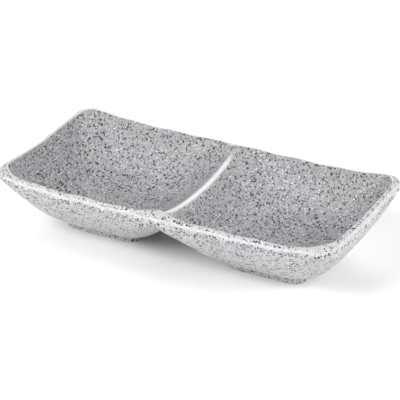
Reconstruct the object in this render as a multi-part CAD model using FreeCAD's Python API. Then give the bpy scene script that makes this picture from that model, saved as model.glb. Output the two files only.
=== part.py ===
import FreeCAD, Part
import math
import os

# Two-compartment chip and dip server in speckled glazed stoneware.
# Millimetres, +X along the length, +Y across, +Z up, feet standing on z = 0.

# Overall plan
LENGTH = 250.0
WIDTH = 126.0
CORNER_R = 13.0
BOWL_X = LENGTH / 4

# Rim heights above the table: dish corners, middle of each long side,
# ends of the divider, middle of each short end, and the divider's saddle
RIM_CORNER = 51.4
RIM_SIDE = 46.0
RIM_DIVIDER = 46.2
RIM_END = 48.2
END_POWER = 2.0
DIP_POWER = 1.25
SADDLE = 35.5
RIM_BAND = 3.2
RIM_CORE = 14.0
RIM_CROWN = 2.3

# Slight hand-made waves in the rim: height, pitch and offset of each
WAVE_BACK = 0.3
WAVE_FRONT = 0.38
WAVE_LONG_PITCH = 32.0
WAVE_BACK_OFFSET = 18.5
WAVE_FRONT_OFFSET = -9.2
WAVE_END = 0.2
WAVE_END_PITCH = 68.0
WAVE_END_OFFSET = 44.7

# Bowl interior
FLOOR = 6.5
WALL_POWER_END = 3.8
WALL_POWER_DIVIDER = 4.2
WALL_POWER_Y = 3.6
BASIN_BLEND_LOW = 1.2
BASIN_BLEND_TOP = 2.6
BASIN_BLEND_DIVIDER = 4.1
SADDLE_POWER = 2.3
RIDGE_ROUND = 9.7

# Outside: upright lip, then the belly curving in to a low underside
LIP = 5.0
LIP_EXTRA_DIVIDER = 4.0
LIP_EXTRA_END = 3.0
BELLY = 1.5
BELLY_POWER_END = 3.8
BELLY_POWER_DIVIDER = 4.3
BELLY_POWER_Y = 3.1
BELLY_BLEND_LOW = 1.2
BELLY_BLEND_TOP = 3.4
BELLY_BLEND_DIVIDER = 8.0
ARCH_ROUND = 1.6

# Radius on the crest and on both edges of the lip
EDGE_ROUND = 1.0

# Half the length of the saddle strip between the bowls
DIVIDER_HALF = 12.0

# Foot rings, one under each bowl
FOOT_HALF_X = 28.2
FOOT_HALF_Y = 28.0
FOOT_WALL = 5.0
FOOT_CORNER_R = 9.0
FOOT_DRAFT = 0.25
FOOT_EDGE = 0.7

V = FreeCAD.Vector
HALF_L = LENGTH / 2
HALF_W = WIDTH / 2
OVERHANG = 4.0
CLEAR = 100.0


def rim_wave(x, y):
    """Slight wave of the long rims, different at the back and the front."""
    back = (1 + max(min(y / HALF_W, 1), -1)) / 2
    turn = 2 * math.pi / WAVE_LONG_PITCH
    back_wave = WAVE_BACK * math.cos(turn * (x + WAVE_BACK_OFFSET))
    front_wave = WAVE_FRONT * math.cos(turn * (x + WAVE_FRONT_OFFSET))
    return back * back_wave + (1 - back) * front_wave


def rim_height(x, y):
    """Height of the rim band, highest at the corners."""
    along = abs(x) / BOWL_X - 1
    across = abs(y) / HALF_W
    if along <= 0:
        rise = (RIM_DIVIDER - RIM_SIDE) * (1 - math.cos(math.pi * along)) / 2
        return RIM_SIDE + rise + rim_wave(x, y)
    end = along ** END_POWER
    corner = RIM_CORNER - RIM_SIDE
    dip = (RIM_CORNER - RIM_END) * (1 - across ** DIP_POWER)
    end_wave = WAVE_END * math.cos(2 * math.pi * (y + WAVE_END_OFFSET) / WAVE_END_PITCH)
    return RIM_SIDE + (corner - dip + end_wave) * end + rim_wave(x, y) * (1 - end)


def rim_top(x, y):
    """Top of the rim band, falling away outwards from the inner crest."""
    ex = max(abs(x) - (HALF_L - RIM_CORE), 0)
    ey = max(abs(y) - (HALF_W - RIM_CORE), 0)
    crest = RIM_CORE - RIM_BAND
    fall = RIM_CROWN / (RIM_CORE ** 2 - crest ** 2)
    return rim_height(x, y) - fall * (ex * ex + ey * ey - crest ** 2)


def blend(wall_x, wall_y, low, top):
    """Joins the rise of two walls, with corners that tighten towards the rim."""
    level = min((wall_x ** 6 + wall_y ** 6) ** (1 / 6), 1)
    return low + (top - low) * level ** 3


def basin_height(x, y):
    """Inside of both bowls and the rounded saddle between them."""
    across = abs(y) / (HALF_W - RIM_BAND)
    rise_y = rim_height(x, y) - FLOOR
    wall_y = across ** WALL_POWER_Y
    top = BASIN_BLEND_TOP
    if abs(x) > BOWL_X:
        along = (abs(x) - BOWL_X) / (HALF_L - RIM_BAND - BOWL_X)
        wall_x = along ** WALL_POWER_END
        rise_x = rise_y
    else:
        off = math.sqrt(x * x + RIDGE_ROUND ** 2) - RIDGE_ROUND
        along = (BOWL_X - off) / BOWL_X
        wall_x = along ** WALL_POWER_DIVIDER
        rise_x = SADDLE - FLOOR + (RIM_DIVIDER - SADDLE) * across ** SADDLE_POWER
        top += (BASIN_BLEND_DIVIDER - BASIN_BLEND_TOP) * along ** 2
    n = blend(wall_x, wall_y, BASIN_BLEND_LOW, top)
    return FLOOR + ((rise_x * wall_x) ** n + (rise_y * wall_y) ** n) ** (1 / n)


def belly_height(x, y):
    """Underside of both bowls, meeting in an arch below the divider."""
    across = abs(y) / HALF_W
    edge = rim_height(x, y) - LIP
    top = BELLY_BLEND_TOP
    if abs(x) > BOWL_X:
        along = (abs(x) - BOWL_X) / BOWL_X
        edge -= LIP_EXTRA_END * along ** 6
        wall_x = along ** BELLY_POWER_END
    else:
        off = math.sqrt(x * x + ARCH_ROUND ** 2) - ARCH_ROUND
        along = (BOWL_X - off) / BOWL_X
        inside = min(across, 1)
        dip = (RIM_DIVIDER - SADDLE) * (1 - inside ** SADDLE_POWER)
        edge -= (dip + LIP_EXTRA_DIVIDER * inside ** 2) * along ** 3
        wall_x = along ** BELLY_POWER_DIVIDER
        top += (BELLY_BLEND_DIVIDER - BELLY_BLEND_TOP) * along ** 4
    wall_y = across ** BELLY_POWER_Y
    n = blend(wall_x, wall_y, BELLY_BLEND_LOW, top)
    return BELLY + (edge - BELLY) * (wall_x ** n + wall_y ** n) ** (1 / n)


def stations_x():
    """Stations along the length, closer together over the divider."""
    middle = [DIVIDER_HALF * i / 8 for i in range(-8, 9)]
    step = (HALF_L + OVERHANG - DIVIDER_HALF) / 29
    side = [DIVIDER_HALF + step * i for i in range(1, 30)]
    return [-x for x in reversed(side)] + middle + side


def stations_y():
    """Even stations across the width."""
    limit = HALF_W + OVERHANG
    return [limit * i / 18 for i in range(-18, 19)]


def height_face(height):
    """Smooth face through the heights that a formula gives over the plan."""
    surface = Part.BSplineSurface()
    surface.interpolate([[V(x, y, height(x, y)) for y in stations_y()] for x in stations_x()])
    return surface.toShape()


def dish():
    """The whole body: plan outline trimmed by rim, basin and belly faces."""
    outline = rounded_rectangle(0, HALF_L, HALF_W, CORNER_R, 0)
    body = Part.Face(outline).extrude(V(0, 0, RIM_CORNER + 10))
    body = body.cut(height_face(rim_top).extrude(V(0, 0, CLEAR)))
    body = body.cut(height_face(basin_height).extrude(V(0, 0, CLEAR)))
    body = body.cut(height_face(belly_height).extrude(V(0, 0, -CLEAR)))
    edges = [edge for edge in body.Edges if not upright(edge)]
    return body.makeFillet(EDGE_ROUND, edges)


def upright(edge):
    """True for the seams that run straight up the lip."""
    box = edge.BoundBox
    return box.XLength < 0.1 and box.YLength < 0.1


def between(body, x_min, x_max):
    """The part of a body between two planes across the length."""
    size_y = WIDTH + 40
    slab = Part.makeBox(x_max - x_min, size_y, CLEAR, V(x_min, -size_y / 2, -1))
    return body.common(slab)


def rounded_rectangle(centre_x, half_x, half_y, radius, z):
    """Closed wire around a rectangle with rounded corners."""
    corners = [(1, -1), (1, 1), (-1, 1), (-1, -1)]
    d = radius * math.sqrt(0.5)
    edges = []
    points = []
    for sx, sy in corners:
        cx = centre_x + sx * (half_x - radius)
        cy = sy * (half_y - radius)
        ends = [V(cx + sx * radius, cy, z), V(cx, cy + sy * radius, z)]
        if sx != sy:
            ends.reverse()
        edges.append(Part.Arc(ends[0], V(cx + sx * d, cy + sy * d, z), ends[1]).toShape())
        points.append(ends)
    for i in range(4):
        edges.append(Part.makeLine(points[i][1], points[(i + 1) % 4][0]))
    return Part.Wire(Part.__sortEdges__(edges))


def foot_block(centre_x, inset, draft):
    """Drafted block with its small face on the table."""
    wires = []
    for z in (0, 10):
        grow = draft * z - inset
        radius = FOOT_CORNER_R + grow
        half_x = FOOT_HALF_X + grow
        half_y = FOOT_HALF_Y + grow
        wires.append(rounded_rectangle(centre_x, half_x, half_y, radius, z))
    return Part.makeLoft(wires, True, True)


def foot_ring(centre_x):
    """Ring foot standing on z = 0 and closed on top by the belly."""
    ring = foot_block(centre_x, 0, FOOT_DRAFT)
    ring = ring.cut(foot_block(centre_x, FOOT_WALL, -FOOT_DRAFT))
    base = [edge for edge in ring.Edges if edge.BoundBox.ZMax < 0.01]
    ring = ring.makeFillet(FOOT_EDGE, base)
    return ring.cut(height_face(belly_height).extrude(V(0, 0, CLEAR)))


def main():
    os.makedirs("parts", exist_ok=True)
    body = dish()
    nodes = {
        "left_bowl": between(body, -HALF_L - 10, -DIVIDER_HALF),
        "divider": between(body, -DIVIDER_HALF, DIVIDER_HALF),
        "right_bowl": between(body, DIVIDER_HALF, HALF_L + 10),
        "left_foot": foot_ring(-BOWL_X),
        "right_foot": foot_ring(BOWL_X),
    }
    for name, shape in nodes.items():
        shape.exportStep("parts/" + name + ".step")


main()
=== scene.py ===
import math

import bmesh
import bpy
import numpy as np
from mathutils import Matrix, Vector


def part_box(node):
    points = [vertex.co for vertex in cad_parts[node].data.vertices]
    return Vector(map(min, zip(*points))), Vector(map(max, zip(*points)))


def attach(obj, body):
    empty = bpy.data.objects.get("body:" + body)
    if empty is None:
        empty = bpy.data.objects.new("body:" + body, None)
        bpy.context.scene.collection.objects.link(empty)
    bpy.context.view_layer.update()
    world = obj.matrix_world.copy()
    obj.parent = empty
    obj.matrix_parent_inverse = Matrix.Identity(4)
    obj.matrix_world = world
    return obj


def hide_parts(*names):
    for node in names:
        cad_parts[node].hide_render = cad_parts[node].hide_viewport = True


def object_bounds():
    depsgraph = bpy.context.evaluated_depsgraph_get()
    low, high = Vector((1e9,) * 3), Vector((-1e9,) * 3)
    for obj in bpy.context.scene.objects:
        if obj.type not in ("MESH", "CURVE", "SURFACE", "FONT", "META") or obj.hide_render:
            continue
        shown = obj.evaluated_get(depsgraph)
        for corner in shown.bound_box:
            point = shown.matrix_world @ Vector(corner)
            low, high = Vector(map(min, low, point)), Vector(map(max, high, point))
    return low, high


# Chip and dip server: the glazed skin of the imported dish, built as fine meshes over its CAD nodes.
# Shape values are in millimetres, in the CAD's own frame.

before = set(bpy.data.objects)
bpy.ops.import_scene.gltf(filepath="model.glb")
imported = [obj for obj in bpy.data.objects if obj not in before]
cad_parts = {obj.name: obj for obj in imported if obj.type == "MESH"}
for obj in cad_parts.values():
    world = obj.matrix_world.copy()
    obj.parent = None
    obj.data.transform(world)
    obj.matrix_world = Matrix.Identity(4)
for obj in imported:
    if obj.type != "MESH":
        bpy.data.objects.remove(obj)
CAD_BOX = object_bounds()
MM = 0.001

HALF_L = (CAD_BOX[1].x - CAD_BOX[0].x) / 2 / MM
HALF_W = (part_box("left_bowl")[1].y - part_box("left_bowl")[0].y) / 2 / MM
BOWL_X = HALF_L / 2
CORNER_R = 13.0
DIVIDER_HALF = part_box("divider")[1].x / MM

RIM_CORNER, RIM_SIDE, RIM_DIVIDER, RIM_END = 51.4, 46.0, 46.2, 48.2
END_POWER, DIP_POWER = 2.0, 1.25
SADDLE, SADDLE_POWER, RIDGE_ROUND = 35.5, 2.3, 9.7
RIM_BAND, RIM_CORE, RIM_CROWN = 3.2, 14.0, 2.3
WAVE_BACK, WAVE_FRONT, WAVE_LONG_PITCH = 0.3, 0.38, 32.0
WAVE_BACK_OFFSET, WAVE_FRONT_OFFSET = 18.5, -9.2
WAVE_END, WAVE_END_PITCH, WAVE_END_OFFSET = 0.2, 68.0, 44.7

FLOOR = 6.5
WALL_POWER_END, WALL_POWER_DIVIDER, WALL_POWER_Y = 3.8, 4.2, 3.6
BASIN_BLEND_LOW, BASIN_BLEND_TOP, BASIN_BLEND_DIVIDER = 1.2, 2.6, 4.1

LIP, LIP_EXTRA_DIVIDER, LIP_EXTRA_END = 5.0, 4.0, 3.0
BELLY = 1.5
BELLY_POWER_END, BELLY_POWER_DIVIDER, BELLY_POWER_Y = 3.8, 4.3, 3.1
BELLY_BLEND_LOW, BELLY_BLEND_TOP, BELLY_BLEND_DIVIDER = 1.2, 3.4, 8.0
ARCH_ROUND = 1.6
# How fast the two walls' blend turns and tightens, and how each extra fades from the divider or the end.
BLEND_TURN, BLEND_TIGHTEN = 6, 3
DIP_FADE, ARCH_FADE, LIP_END_FADE = 3, 4, 6

FOOT_HALF_X, FOOT_HALF_Y, FOOT_WALL = 28.2, 28.0, 5.0
FOOT_CORNER_R, FOOT_EDGE = 9.0, 0.7

CREST_SOFT = 1.3
EDGE_ROUND = 1.2

# Mesh stations: along the divider, a bowl's side, a corner and an end, then loops up the lip.
MID_STATIONS, SIDE_STATIONS, TURN_STATIONS, END_STATIONS = 61, 91, 17, 81
INSET_ROUNDING = 0.75
LIP_LOOPS = 7
FOOT_TURNS, FOOT_SIDE_STATIONS = 12, 16

# Where the glaze runs thin: half widths of the crest, the ridge and the band's outer edge.
CREST_WIDTH, RIDGE_WIDTH, BAND_EDGE_WIDTH = 1.1, 2.5, 0.7
RIDGE_THINNING, RIDGE_FADE_END, RIDGE_FADE_LENGTH = 0.9, 57, 16
BAND_EDGE_THINNING, BAND_EDGE_INSET = 0.5, 0.4
LIP_WIDTH, OUTSIDE_FADE = 1.5, 3

BODY_DARK, BODY_LIGHT, BODY_GRAIN = (0.265, 0.27, 0.279), (0.34, 0.345, 0.354), (0.41, 0.415, 0.424)
# The second colour here is painted light: the outer faces are lifted towards it so that they read lighter
# than the bowls' insides, as low front light and the floor's bounce would make them.
HAZE, PAINTED_LIGHT_PALE = (0.15, 0.154, 0.162), (0.56, 0.565, 0.575)
WHITE, THIN, BLACK = (0.82, 0.82, 0.81), (0.7, 0.705, 0.71), (0.012, 0.012, 0.015)
# Specks: lattice pitch in mm, share of the cells, size in cells, shift of the lattice in metres.
WHITE_SPECKS = (1.25, 0.36, 0.38, (0.11, 0.02, 0.07))
SMALL_SPECKS = (1.15, 0.46, 0.46, (0.31, 0.17, 0.05))
LARGE_SPECKS = (1.8, 0.42, 0.48, (0.73, 0.41, 0.29))
EDGE_SPECKS = (1.9, 0.5, 0.46, (0.19, 0.87, 0.61))

FLOOR_HALF, FLOOR_FADE_START, FLOOR_FADE_END = 6.0, 0.5, 1.3
FLOOR_COLOUR = (0.92, 0.92, 0.92)
HORIZON, SKY = 0.85, 0.04
HORIZON_TOP, SKY_START = 0.12, 0.35
# Lamps, all aimed at the origin: name, place in metres, edge in metres, watts.
LAMPS = (
    ("front_left", (-0.5, -1.0, 0.9), 0.7, 19),
    ("right", (1.1, 0, 0.7), 0.7, 15.5),
    ("back", (-0.3, 1.1, 0.7), 0.7, 6.5),
    ("left", (-1.1, 0.3, 0.9), 0.7, 3),
    ("left_low", (-1.2, -0.5, 0.5), 0.6, 2.5),
)
AZIMUTH, ELEVATION, DISTANCE = math.radians(27.87), math.radians(27.13), 1.3782
TARGET = Vector((-0.0033, 0.0084, 0.025))
LENS, SENSOR = 181.7, 36


# ---------------------------------------------------------------- shape of the dish


def rim_wave(x, y):
    """Slight wave of the long rims, different at the back and the front."""
    back = (1 + np.clip(y / HALF_W, -1, 1)) / 2
    turn = 2 * np.pi / WAVE_LONG_PITCH
    back_wave = WAVE_BACK * np.cos(turn * (x + WAVE_BACK_OFFSET))
    return back * back_wave + (1 - back) * WAVE_FRONT * np.cos(turn * (x + WAVE_FRONT_OFFSET))


def rim_height(x, y):
    """Height of the rim band, highest at the corners."""
    along = np.abs(x) / BOWL_X - 1
    across = np.abs(y) / HALF_W
    inner = RIM_SIDE + (RIM_DIVIDER - RIM_SIDE) * (1 - np.cos(np.pi * np.minimum(along, 0))) / 2
    end = np.maximum(along, 0) ** END_POWER
    dip = (RIM_CORNER - RIM_END) * (1 - across**DIP_POWER)
    end_wave = WAVE_END * np.cos(2 * np.pi * (y + WAVE_END_OFFSET) / WAVE_END_PITCH)
    return inner + (RIM_CORNER - RIM_SIDE - dip + end_wave) * end + rim_wave(x, y) * (1 - end)


def rim_top(x, y):
    """Top of the rim band, falling away outwards from the inner crest."""
    ex = np.maximum(np.abs(x) - (HALF_L - RIM_CORE), 0)
    ey = np.maximum(np.abs(y) - (HALF_W - RIM_CORE), 0)
    crest = RIM_CORE - RIM_BAND
    fall = RIM_CROWN / (RIM_CORE**2 - crest**2)
    return rim_height(x, y) - fall * (ex**2 + ey**2 - crest**2)


def blend(wall_x, wall_y, low, top):
    """Joins the rise of two walls, with corners that tighten towards the rim."""
    level = np.minimum((wall_x**BLEND_TURN + wall_y**BLEND_TURN) ** (1 / BLEND_TURN), 1)
    return low + (top - low) * level**BLEND_TIGHTEN


def basin_height(x, y):
    """Inside of both bowls and the rounded saddle between them."""
    is_outer = np.abs(x) > BOWL_X
    across = np.abs(y) / (HALF_W - RIM_BAND)
    rise_y = rim_height(x, y) - FLOOR
    wall_y = across**WALL_POWER_Y
    outer = np.maximum(np.abs(x) - BOWL_X, 0) / (HALF_L - RIM_BAND - BOWL_X)
    off = np.sqrt(x * x + RIDGE_ROUND**2) - RIDGE_ROUND
    inner = np.maximum(BOWL_X - off, 0) / BOWL_X
    wall_x = np.where(is_outer, outer**WALL_POWER_END, inner**WALL_POWER_DIVIDER)
    ridge = SADDLE - FLOOR + (RIM_DIVIDER - SADDLE) * across**SADDLE_POWER
    rise_x = np.where(is_outer, rise_y, ridge)
    top = BASIN_BLEND_TOP + np.where(is_outer, 0, (BASIN_BLEND_DIVIDER - BASIN_BLEND_TOP) * inner**2)
    n = blend(wall_x, wall_y, BASIN_BLEND_LOW, top)
    return FLOOR + ((rise_x * wall_x) ** n + (rise_y * wall_y) ** n) ** (1 / n)


def belly_height(x, y):
    """Underside of both bowls, meeting in an arch below the divider."""
    is_outer = np.abs(x) > BOWL_X
    across = np.abs(y) / HALF_W
    inside = np.minimum(across, 1)
    outer = np.maximum(np.abs(x) - BOWL_X, 0) / BOWL_X
    off = np.sqrt(x * x + ARCH_ROUND**2) - ARCH_ROUND
    inner = np.maximum(BOWL_X - off, 0) / BOWL_X
    dip = (RIM_DIVIDER - SADDLE) * (1 - inside**SADDLE_POWER) + LIP_EXTRA_DIVIDER * inside**2
    drop = np.where(is_outer, LIP_EXTRA_END * outer**LIP_END_FADE, dip * inner**DIP_FADE)
    edge = rim_height(x, y) - LIP - drop
    wall_x = np.where(is_outer, outer**BELLY_POWER_END, inner**BELLY_POWER_DIVIDER)
    wall_y = across**BELLY_POWER_Y
    top = BELLY_BLEND_TOP + np.where(is_outer, 0, (BELLY_BLEND_DIVIDER - BELLY_BLEND_TOP) * inner**ARCH_FADE)
    n = blend(wall_x, wall_y, BELLY_BLEND_LOW, top)
    return BELLY + (edge - BELLY) * (wall_x**n + wall_y**n) ** (1 / n)


def top_height(x, y):
    """Basin and rim band joined by a rounded crest."""
    basin, band = basin_height(x, y), rim_top(x, y)
    mix = np.maximum(CREST_SOFT - np.abs(basin - band), 0) / CREST_SOFT
    return np.minimum(basin, band) - mix**2 * CREST_SOFT / 4


# ---------------------------------------------------------------- mesh of the dish


def graded(*runs):
    """Stations from (end, count) runs, starting at 0."""
    out = [0.0]
    for end, count in runs:
        start = out[-1]
        out += [start + (end - start) * (i + 1) / count for i in range(count)]
    return np.array(out)


def plan_loop(inset):
    """Plan points of one loop, inset from the outline. Stations at the divider's planes stay put."""
    radius = min(CORNER_R + INSET_ROUNDING * inset, HALF_W - inset)
    flat_x = HALF_L - inset - radius
    flat_y = HALF_W - inset - radius
    mid = DIVIDER_HALF * np.linspace(-1, 1, MID_STATIONS)
    side = DIVIDER_HALF + (flat_x - DIVIDER_HALF) * np.linspace(0, 1, SIDE_STATIONS)[1:]
    xs = np.concatenate([-side[::-1], mid, side])
    ys = np.full_like(xs, flat_y + radius)
    turn = np.linspace(0, np.pi / 2, TURN_STATIONS)[1:-1]
    arc_x = flat_x + radius * np.sin(turn)
    arc_y = flat_y + radius * np.cos(turn)
    end_y = flat_y * np.linspace(-1, 1, END_STATIONS)
    end_x = np.full_like(end_y, flat_x + radius)
    front = np.stack([xs, -ys], 1)
    corner = np.stack([arc_x, -arc_y], 1)
    end = np.stack([end_x, end_y], 1)
    half = np.concatenate([front, corner, end, corner[::-1] * (1, -1)])
    return np.concatenate([half, -half])


INSETS = graded((EDGE_ROUND, 8), (3.0, 4), (6.5, 16), (12.0, 14), (30.0, 18), (HALF_W, 22))


def dish_surface():
    """Points and quads of the closed dish: top loops from the centre out, lip, belly loops back in."""
    rings = [plan_loop(i) for i in INSETS]
    size = len(rings[0])
    loops = []
    for inset, ring in reversed(list(zip(INSETS, rings))):
        lower = EDGE_ROUND - math.sqrt(EDGE_ROUND**2 - max(EDGE_ROUND - inset, 0) ** 2)
        loops.append(np.column_stack([ring, top_height(ring[:, 0], ring[:, 1]) - lower]))
    under = []
    for inset, ring in zip(INSETS, rings):
        lift = EDGE_ROUND - math.sqrt(EDGE_ROUND**2 - max(EDGE_ROUND - inset, 0) ** 2)
        under.append(np.column_stack([ring, belly_height(ring[:, 0], ring[:, 1]) + lift]))
    for step in np.linspace(0, 1, LIP_LOOPS)[1:-1]:
        loops.append(loops[len(INSETS) - 1] * (1 - step) + under[0] * step)
    loops += under
    verts = np.concatenate(loops)
    base = np.arange(size)
    quads = []
    for row in range(len(loops) - 1):
        a, b = base + row * size, np.roll(base, -1) + row * size
        quads.append(np.stack([a, a + size, b + size, b], 1))
    return verts, np.concatenate(quads)


def glaze_thinning(verts):
    """0 to 1: how far the glaze has run off, on the divider's ridge, the crest and the band's edge."""
    x, y, z = verts.T
    inset = np.minimum(HALF_L - np.abs(x), HALF_W - np.abs(y))
    above = z > (top_height(x, y) + belly_height(x, y)) / 2
    depth = rim_top(x, y) - basin_height(x, y)
    crest = np.exp(-((depth / CREST_WIDTH) ** 2)) * above
    reach = np.clip((depth + 1) / 2, 0, 1) * np.clip((RIDGE_FADE_END - y) / RIDGE_FADE_LENGTH, 0, 1)
    ridge = RIDGE_THINNING * np.exp(-((x / RIDGE_WIDTH) ** 2)) * above * reach
    from_edge = (inset - BAND_EDGE_INSET) / BAND_EDGE_WIDTH
    band_edge = BAND_EDGE_THINNING * np.exp(-(from_edge**2)) * above
    return np.clip(np.maximum.reduce([crest, ridge, band_edge]), 0, 1)


def lip_amount(verts):
    """1 on the upright lip, 0 elsewhere."""
    x, y = verts.T[:2]
    inset = np.minimum(HALF_L - np.abs(x), HALF_W - np.abs(y))
    return np.exp(-((np.maximum(inset, 0) / LIP_WIDTH) ** 2))


def outside_painted_light_amount(verts):
    """Where the outer faces get painted light: 0 inside the bowls, 1 on the band's outer half, the lip and
    the belly.
    """
    x, y, z = verts.T
    below = z < (top_height(x, y) + belly_height(x, y)) / 2
    above_band = np.clip((basin_height(x, y) - rim_top(x, y)) / OUTSIDE_FADE, 0, 1)
    return np.where(below, 1.0, above_band)


def vertex_normals(verts, quads):
    """Unit normals at the points, weighted by the area of the quads around them."""
    a, b, c, d = (verts[quads[:, i]] for i in range(4))
    face = np.cross(c - a, d - b)
    out = np.zeros_like(verts)
    for i in range(4):
        np.add.at(out, quads[:, i], face)
    return out / np.maximum(np.linalg.norm(out, axis=1, keepdims=True), 1e-9)


def weld(verts, faces):
    """Merges points that fall together and drops collapsed faces. Gives the points kept and the faces."""
    key = np.round(verts, 4)
    _, first, index = np.unique(key, axis=0, return_index=True, return_inverse=True)
    index = index.reshape(-1)
    out = []
    for face in index[faces]:
        ring = [v for i, v in enumerate(face) if v != face[i - 1]]
        if len(set(ring)) > 2:
            out.append(ring)
    return first, out


def build_dish():
    """Cuts the surface at the divider's planes, caps the cuts, and gives three closed pieces."""
    verts, quads = dish_surface()
    normals = vertex_normals(verts, quads)
    centre = verts[quads].mean(axis=1)
    layers = {
        "thin_glaze": glaze_thinning(verts),
        "lip": lip_amount(verts),
        "outside": outside_painted_light_amount(verts),
    }
    size = len(plan_loop(0))
    rows = len(verts) // size
    tops = len(INSETS)
    for name, low, high in (
        ("left_bowl", -1e9, -DIVIDER_HALF),
        ("divider", -DIVIDER_HALF, DIVIDER_HALF),
        ("right_bowl", DIVIDER_HALF, 1e9),
    ):
        mine = quads[(centre[:, 0] > low) & (centre[:, 0] < high)]
        used = np.unique(mine)
        remap = np.full(len(verts), -1)
        remap[used] = np.arange(len(used))
        f = remap[mine]
        caps = []
        for plane in (low, high):
            if abs(plane) > 1e6:
                continue
            columns = [j for j in range(size) if abs(verts[j + (tops - 1) * size, 0] - plane) < 1e-6]
            for j in columns:
                path = [j + row * size for row in range(rows)]
                lower = path[::-1]
                for k in range(tops + 2):
                    caps.append([path[k], path[k + 1], lower[k + 1], lower[k]])
        f = np.concatenate([f, remap[np.array(caps)]])
        kept, faces = weld(verts[used], f)
        kept = used[kept]
        own_layers = {label: layer[kept] for label, layer in layers.items()}
        yield name, verts[kept], faces, normals[kept], own_layers


def finish_mesh(name, verts, faces, normals, layers, material):
    """Makes one closed, smooth mesh that faces outwards and stands in for the node of the same name."""
    mesh = bpy.data.meshes.new(name)
    mesh.from_pydata((verts * MM).tolist(), [], faces)
    bm = bmesh.new()
    bm.from_mesh(mesh)
    bmesh.ops.recalc_face_normals(bm, faces=bm.faces)
    if bm.calc_volume(signed=True) < 0:
        bmesh.ops.reverse_faces(bm, faces=bm.faces)
    bm.to_mesh(mesh)
    bm.free()
    mesh.polygons.foreach_set("use_smooth", [True] * len(mesh.polygons))
    for label, values in layers.items():
        layer = mesh.attributes.new(label, "FLOAT", "POINT")
        layer.data.foreach_set("value", values.astype(np.float32))
    mesh.materials.append(material)
    mesh.normals_split_custom_set_from_vertices(normals.tolist())
    obj = bpy.data.objects.new(name + "_skin", mesh)
    bpy.context.scene.collection.objects.link(obj)
    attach(obj, "root")
    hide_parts(name)
    return obj


# ---------------------------------------------------------------- foot rings


def foot_loop(grow):
    """Plan points of a rounded square, FOOT_HALF_X by FOOT_HALF_Y at grow = 0."""
    radius = max(FOOT_CORNER_R + grow, 0.5)
    flat_x = FOOT_HALF_X + grow - radius
    flat_y = FOOT_HALF_Y + grow - radius
    points = []
    for quarter in range(4):
        sx = (1, -1, -1, 1)[quarter]
        sy = (1, 1, -1, -1)[quarter]
        for i in range(FOOT_TURNS + 1):
            angle = math.pi / 2 * (quarter + i / FOOT_TURNS)
            along, across = radius * math.cos(angle), radius * math.sin(angle)
            points.append((sx * flat_x + along, sy * flat_y + across))
        for i in range(1, FOOT_SIDE_STATIONS):
            run = 1 - 2 * i / FOOT_SIDE_STATIONS
            if quarter % 2 == 0:
                points.append((sx * flat_x * run, sy * (flat_y + radius)))
            else:
                points.append((sx * (flat_x + radius), sy * flat_y * run))
    return np.array(points)


def foot_profile():
    """Growth, height and share of the way to the belly, round the ring's section from outside top."""
    out = []
    for t in np.linspace(0, 1, 9):
        out.append((1.5 - 1.3 * math.sin(t * math.pi / 2), 0, 1 - t * 0.62))
    for t in np.linspace(0.15, 1, 6):
        angle = t * math.pi / 2
        out.append((0.2 - FOOT_EDGE * (1 - math.cos(angle)), FOOT_EDGE * (1 - math.sin(angle)), 0))
    for t in np.linspace(0.2, 0.8, 4):
        out.append((0.2 - FOOT_EDGE - t * (FOOT_WALL - 2 * FOOT_EDGE - 0.2), 0, 0))
    for t in np.linspace(0, 1, 6):
        angle = t * math.pi / 2
        out.append((-FOOT_WALL + FOOT_EDGE * (1 - math.sin(angle)), FOOT_EDGE * (1 - math.cos(angle)), 0))
    for t in np.linspace(0.4, 1, 6):
        out.append((-FOOT_WALL - 0.8 * t * t, 0, t))
    return out


def build_foot(centre_x):
    """Closed ring from the table into the belly, flaring a little where it meets the bowl."""
    loops = []
    for grow, height, share in foot_profile():
        ring = foot_loop(grow)
        x = ring[:, 0] + centre_x
        top = belly_height(x, ring[:, 1]) + 0.5
        z = np.full(len(ring), float(height)) if share == 0 else FOOT_EDGE + (top - FOOT_EDGE) * share
        loops.append(np.column_stack([x, ring[:, 1], z]))
    size, rows = len(loops[0]), len(loops)
    base = np.arange(size)
    quads = []
    for row in range(rows):
        a = base + row * size
        b = base + (row + 1) % rows * size
        quads.append(np.stack([a, b, np.roll(b, -1), np.roll(a, -1)], 1))
    return np.concatenate(loops), np.concatenate(quads)


# ---------------------------------------------------------------- glaze


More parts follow.
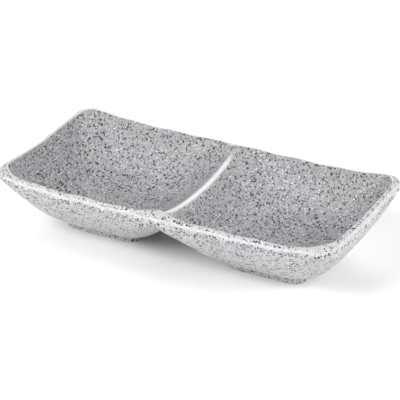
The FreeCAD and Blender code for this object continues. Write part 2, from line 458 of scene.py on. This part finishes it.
def glaze_material():
    """Satin grey glaze with black and white granite speckle, paler and cleaner where it has run thin, with
    painted light making the outer faces paler than the bowls' insides.
    """
    mat = bpy.data.materials.new("speckled_glaze")
    mat.use_nodes = True
    tree = mat.node_tree
    nodes, links = tree.nodes, tree.links
    bsdf = nodes["Principled BSDF"]

    def node(kind, **settings):
        new = nodes.new(kind)
        for key, value in settings.items():
            setattr(new, key, value)
        return new

    def math_node(operation, a, b=None, c=None, clamp=False):
        new = node("ShaderNodeMath", operation=operation, use_clamp=clamp)
        for i, value in enumerate((a, b, c)):
            if value is None:
                continue
            if isinstance(value, (int, float)):
                new.inputs[i].default_value = value
            else:
                links.new(value, new.inputs[i])
        return new.outputs[0]

    def ramp(value, low, high, out_low=0.0, out_high=1.0):
        new = node("ShaderNodeMapRange", interpolation_type="SMOOTHSTEP")
        links.new(value, new.inputs["Value"])
        limits = {"From Min": low, "From Max": high, "To Min": out_low, "To Max": out_high}
        for name, number in limits.items():
            if isinstance(number, (int, float)):
                new.inputs[name].default_value = number
            else:
                links.new(number, new.inputs[name])
        return new.outputs["Result"]

    def blend_colour(amount, a, b):
        new = node("ShaderNodeMix", data_type="RGBA")
        links.new(amount, new.inputs["Factor"])
        for socket, value in ((new.inputs[6], a), (new.inputs[7], b)):
            if isinstance(value, tuple):
                socket.default_value = (*value, 1)
            else:
                links.new(value, socket)
        return new.outputs[2]

    place = node("ShaderNodeTexCoord").outputs["Object"]
    thin = node("ShaderNodeAttribute", attribute_name="thin_glaze").outputs["Fac"]
    lip = node("ShaderNodeAttribute", attribute_name="lip").outputs["Fac"]
    outside = node("ShaderNodeAttribute", attribute_name="outside").outputs["Fac"]

    def noise(scale, detail=2.0, shift=(0, 0, 0)):
        moved = node("ShaderNodeVectorMath", operation="ADD")
        links.new(place, moved.inputs[0])
        moved.inputs[1].default_value = shift
        new = node("ShaderNodeTexNoise")
        links.new(moved.outputs[0], new.inputs["Vector"])
        new.inputs["Scale"].default_value = scale
        new.inputs["Detail"].default_value = detail
        return new.outputs["Fac"]

    def specks(pitch_mm, share, size, shift):
        """Irregular spots, one in a share of the cells of a lattice with the given pitch."""
        warp = node("ShaderNodeTexNoise")
        links.new(place, warp.inputs["Vector"])
        warp.inputs["Scale"].default_value = 900 / pitch_mm
        warp.inputs["Detail"].default_value = 1.0
        push = node("ShaderNodeVectorMath", operation="MULTIPLY_ADD")
        links.new(warp.outputs["Color"], push.inputs[0])
        push.inputs[1].default_value = [0.0007 * pitch_mm] * 3
        links.new(place, push.inputs[2])
        moved = node("ShaderNodeVectorMath", operation="ADD")
        links.new(push.outputs[0], moved.inputs[0])
        moved.inputs[1].default_value = shift
        cell = node("ShaderNodeTexVoronoi", feature="F1")
        links.new(moved.outputs[0], cell.inputs["Vector"])
        cell.inputs["Scale"].default_value = 1000 / pitch_mm
        split = node("ShaderNodeSeparateColor")
        links.new(cell.outputs["Color"], split.inputs[0])
        radius = math_node("MULTIPLY_ADD", split.outputs[1], size * 0.6, size * 0.55)
        spot = ramp(math_node("SUBTRACT", radius, cell.outputs["Distance"]), 0.0, 0.09)
        return math_node("MULTIPLY", spot, math_node("LESS_THAN", split.outputs[0], share))

    bold = ramp(lip, 0.3, 0.9)
    clean = math_node("SUBTRACT", 1.0, ramp(thin, 0.1, 0.7), clamp=True)
    mottle = noise(260, 3.0)
    fine = noise(1500, 2.0, (0.3, 0.1, 0.2))

    body = blend_colour(ramp(mottle, 0.3, 0.7), BODY_DARK, BODY_LIGHT)
    body = blend_colour(ramp(fine, 0.35, 0.7), body, BODY_GRAIN)
    haze = math_node("MULTIPLY", ramp(noise(700, 2.0, (0.5, 0.2, 0.9)), 0.45, 0.7), 0.6)
    body = blend_colour(haze, body, HAZE)
    # Painted light: the outer faces are blended towards a paler grey and the insides are left darker, in
    # place of light that the lamps don't give them.
    body = blend_colour(math_node("MULTIPLY", outside, 0.6), body, PAINTED_LIGHT_PALE)

    white = specks(*WHITE_SPECKS)
    colour = blend_colour(math_node("MULTIPLY", white, 0.85), body, WHITE)
    small = specks(*SMALL_SPECKS)
    colour = blend_colour(math_node("MULTIPLY", math_node("MULTIPLY", small, clean), 0.88), colour, BLACK)
    large = specks(*LARGE_SPECKS)
    colour = blend_colour(math_node("MULTIPLY", math_node("MULTIPLY", large, clean), 0.95), colour, BLACK)
    edge = specks(*EDGE_SPECKS)
    edge = math_node("MULTIPLY", math_node("MULTIPLY", edge, bold), clean)
    colour = blend_colour(math_node("MULTIPLY", edge, 0.95), colour, BLACK)
    colour = blend_colour(math_node("MULTIPLY", ramp(thin, 0.15, 0.95), 0.85), colour, THIN)
    links.new(colour, bsdf.inputs["Base Color"])

    dark = math_node("MAXIMUM", math_node("MAXIMUM", small, large), edge)
    rough = math_node("MULTIPLY_ADD", mottle, 0.12, 0.42)
    links.new(math_node("MULTIPLY_ADD", dark, -0.05, rough), bsdf.inputs["Roughness"])
    bsdf.inputs["IOR"].default_value = 1.5
    bsdf.inputs["Specular IOR Level"].default_value = 0.35

    bump = node("ShaderNodeBump")
    bump.inputs["Strength"].default_value = 0.25
    bump.inputs["Distance"].default_value = 0.0003
    pits = math_node("MULTIPLY", dark, -0.25)
    height = math_node("MULTIPLY_ADD", noise(180, 2.0, (0.6, 0.6, 0.1)), 0.6, pits)
    links.new(height, bump.inputs["Height"])
    links.new(bump.outputs["Normal"], bsdf.inputs["Normal"])
    return mat


def floor_material():
    """Pale paint that fades, away from the dish, into the surround's own brightness."""
    mat = bpy.data.materials.new("floor_paint")
    mat.use_nodes = True
    nodes, links = mat.node_tree.nodes, mat.node_tree.links
    bsdf = nodes["Principled BSDF"]
    bsdf.inputs["Base Color"].default_value = (*FLOOR_COLOUR, 1)
    bsdf.inputs["Roughness"].default_value = 0.6
    reach = nodes.new("ShaderNodeVectorMath")
    reach.operation = "LENGTH"
    links.new(nodes.new("ShaderNodeTexCoord").outputs["Object"], reach.inputs[0])
    fade = nodes.new("ShaderNodeMapRange")
    fade.interpolation_type = "SMOOTHSTEP"
    links.new(reach.outputs["Value"], fade.inputs["Value"])
    fade.inputs["From Min"].default_value = FLOOR_FADE_START
    fade.inputs["From Max"].default_value = FLOOR_FADE_END
    glow = nodes.new("ShaderNodeEmission")
    glow.inputs["Strength"].default_value = HORIZON
    mix = nodes.new("ShaderNodeMixShader")
    links.new(fade.outputs["Result"], mix.inputs[0])
    links.new(bsdf.outputs[0], mix.inputs[1])
    links.new(glow.outputs[0], mix.inputs[2])
    links.new(mix.outputs[0], nodes["Material Output"].inputs["Surface"])
    return mat


glaze = glaze_material()
for name, verts, faces, normals, layers in build_dish():
    finish_mesh(name, verts, faces, normals, layers, glaze)
for name, side in (("left_foot", -1), ("right_foot", 1)):
    verts, faces = build_foot(side * BOWL_X)
    normals = vertex_normals(verts, faces)
    # The feet count as outer faces and get the painted light too.
    layers = {"thin_glaze": np.zeros(len(verts)), "lip": np.zeros(len(verts)), "outside": np.ones(len(verts))}
    finish_mesh(name, verts, faces.tolist(), normals, layers, glaze)

# ---------------------------------------------------------------- studio

scene = bpy.context.scene
scene.view_settings.view_transform = "Standard"

R = FLOOR_HALF
floor_mesh = bpy.data.meshes.new("floor")
floor_mesh.from_pydata([(-R, -R, 0), (R, -R, 0), (R, R, 0), (-R, R, 0)], [], [(0, 1, 2, 3)])
floor_mesh.materials.append(floor_material())
floor = bpy.data.objects.new("floor", floor_mesh)
scene.collection.objects.link(floor)


def studio_world():
    """Pale surround near the horizon, dim above it, so that the lamps give the shading."""
    world = bpy.data.worlds.new("studio")
    world.use_nodes = True
    nodes, links = world.node_tree.nodes, world.node_tree.links
    split = nodes.new("ShaderNodeSeparateXYZ")
    links.new(nodes.new("ShaderNodeTexCoord").outputs["Generated"], split.inputs[0])
    fade = nodes.new("ShaderNodeMapRange")
    fade.interpolation_type = "SMOOTHSTEP"
    links.new(split.outputs["Z"], fade.inputs["Value"])
    limits = {"From Min": HORIZON_TOP, "From Max": SKY_START, "To Min": HORIZON, "To Max": SKY}
    for name, number in limits.items():
        fade.inputs[name].default_value = number
    links.new(fade.outputs["Result"], nodes["Background"].inputs["Strength"])
    nodes["Background"].inputs["Color"].default_value = (1, 1, 1, 1)
    return world


scene.world = studio_world()


for name, place, edge, watts in LAMPS:
    light = bpy.data.lights.new(name, "AREA")
    light.shape = "RECTANGLE"
    light.size = light.size_y = edge
    light.energy = watts
    lamp = bpy.data.objects.new(name, light)
    lamp.location = place
    lamp.rotation_mode = "QUATERNION"
    lamp.rotation_quaternion = (-Vector(place)).to_track_quat("-Z", "Y")
    scene.collection.objects.link(lamp)

camera = bpy.data.cameras.new("camera")
camera.sensor_width = SENSOR
camera.lens = LENS
cam = bpy.data.objects.new("camera", camera)
flat = math.cos(ELEVATION)
back = Vector((math.sin(AZIMUTH) * flat, -math.cos(AZIMUTH) * flat, math.sin(ELEVATION)))
cam.location = TARGET + back * DISTANCE
cam.rotation_mode = "QUATERNION"
cam.rotation_quaternion = (-back).to_track_quat("-Z", "Y")
scene.collection.objects.link(cam)
scene.camera = cam
